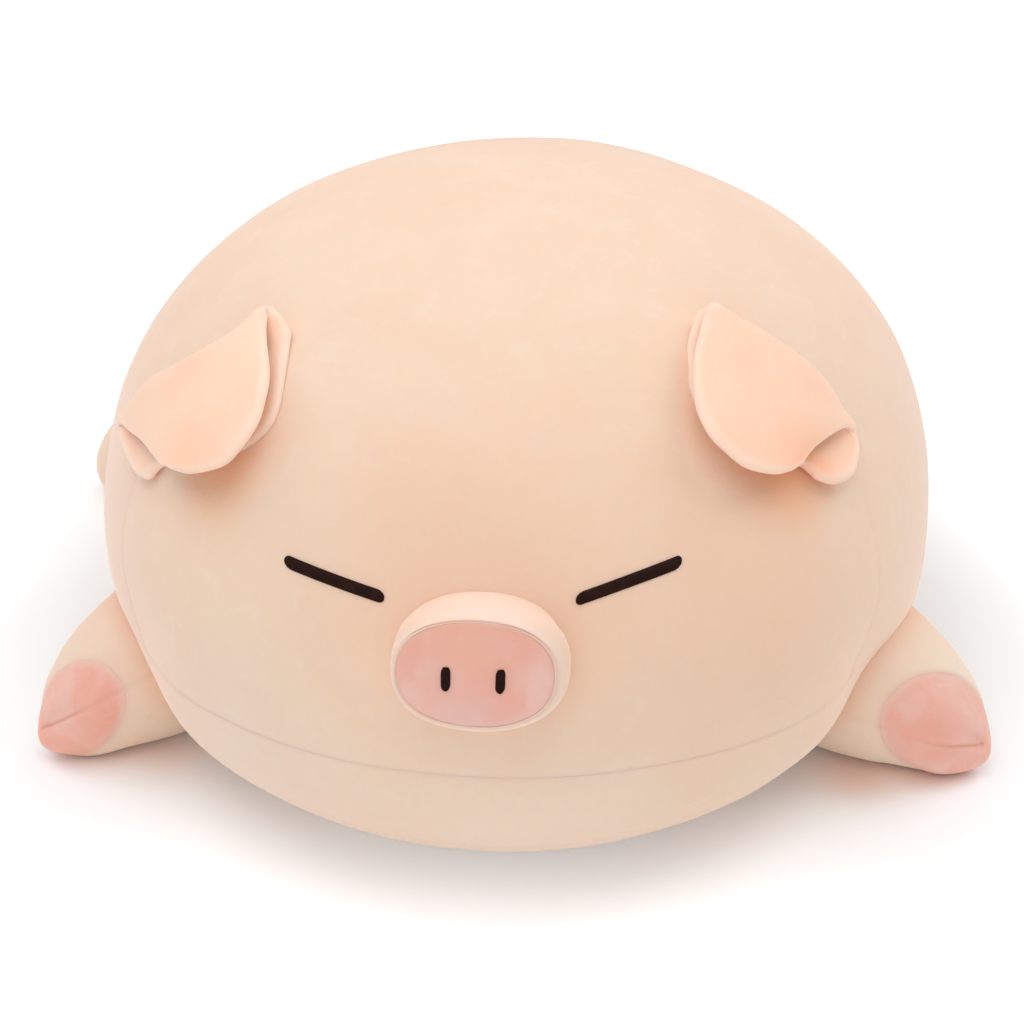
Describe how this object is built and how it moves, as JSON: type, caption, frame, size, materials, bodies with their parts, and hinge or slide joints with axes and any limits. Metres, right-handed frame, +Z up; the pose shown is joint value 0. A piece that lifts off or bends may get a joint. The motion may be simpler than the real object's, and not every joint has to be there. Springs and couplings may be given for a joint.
{
  "type": "plush pig",
  "caption": "Round, flat-bellied plush pig lying down, with closed embroidered eyes, a barrel snout, folded ears, short limbs with pink hoof caps and a curled tail.",
  "frame": {"origin": "on the surface the pig lies on, under the widest part of its body", "axes": "+Z up, the face towards -Y, the pig's own left towards +X"},
  "size_m": [0.48, 0.5216, 0.2485],
  "materials": {
    "peach_velvet": "short velvet pile",
    "pink_velvet": "short velvet pile",
    "embroidery_thread": "satin stitch",
    "fibre_filling": "loose polyester fibre"
  },
  "bodies": {
    "body": {"body_stuffing": "fibre_filling", "face_panel": "peach_velvet", "back_panel_left": "peach_velvet", "back_panel_right": "peach_velvet", "belly_panel": "peach_velvet", "closing_thread": "peach_velvet", "snout_wall": "peach_velvet", "snout_face": "pink_velvet", "snout_stuffing": "fibre_filling", "nostril_left": "embroidery_thread", "nostril_right": "embroidery_thread", "eye_left": "embroidery_thread", "eye_right": "embroidery_thread", "ear_left_back_outer": "peach_velvet", "ear_left_back_lining": "peach_velvet", "ear_right_back_outer": "peach_velvet", "ear_right_back_lining": "peach_velvet"},
    "left_ear_flap": {"ear_left_flap_outer": "peach_velvet", "ear_left_flap_lining": "peach_velvet"},
    "right_ear_flap": {"ear_right_flap_outer": "peach_velvet", "ear_right_flap_lining": "peach_velvet"},
    "front_left_limb": {"front_left_stuffing": "fibre_filling", "front_left_sleeve": "peach_velvet", "front_left_hoof_cap": "pink_velvet"},
    "front_right_limb": {"front_right_stuffing": "fibre_filling", "front_right_sleeve": "peach_velvet", "front_right_hoof_cap": "pink_velvet"},
    "hind_left_limb": {"hind_left_stuffing": "fibre_filling", "hind_left_sleeve": "peach_velvet", "hind_left_hoof_cap": "pink_velvet"},
    "hind_right_limb": {"hind_right_stuffing": "fibre_filling", "hind_right_sleeve": "peach_velvet", "hind_right_hoof_cap": "pink_velvet"},
    "tail": {"tail": "peach_velvet"}
  },
  "joints": [
    {"name": "ear_left_flip", "type": "hinge", "parent": "body", "child": "left_ear_flap", "pos_m": [0.1219, -0.0782, 0.2058], "axis": [-0.753, 0.327, 0.571], "range_deg": [0, 50]},
    {"name": "ear_right_flip", "type": "hinge", "parent": "body", "child": "right_ear_flap", "pos_m": [-0.1381, -0.0765, 0.1951], "axis": [-0.7122, -0.2121, -0.6692], "range_deg": [0, 50]},
    {"name": "front_left_swing", "type": "hinge", "parent": "body", "child": "front_left_limb", "pos_m": [0.1642, -0.0979, 0.0351], "axis": [0, 0, -1], "range_deg": [0, 30], "stiffness_Nm_per_rad": 0.05},
    {"name": "front_right_swing", "type": "hinge", "parent": "body", "child": "front_right_limb", "pos_m": [-0.1577, -0.1088, 0.0337], "axis": [0, 0, 1], "range_deg": [0, 30], "stiffness_Nm_per_rad": 0.05},
    {"name": "hind_left_swing", "type": "hinge", "parent": "body", "child": "hind_left_limb", "pos_m": [0.0982, 0.1702, 0.0357], "axis": [0, 0, 1], "range_deg": [0, 25], "stiffness_Nm_per_rad": 0.05},
    {"name": "hind_right_swing", "type": "hinge", "parent": "body", "child": "hind_right_limb", "pos_m": [-0.1423, 0.154, 0.0429], "axis": [0, 0, -1], "range_deg": [0, 30], "stiffness_Nm_per_rad": 0.05},
    {"name": "tail_swing", "type": "hinge", "parent": "body", "child": "tail", "pos_m": [0, 0.2249, 0.12], "axis": [0, 0, 1], "range_deg": [-20, 20], "stiffness_Nm_per_rad": 0.01}
  ]
}
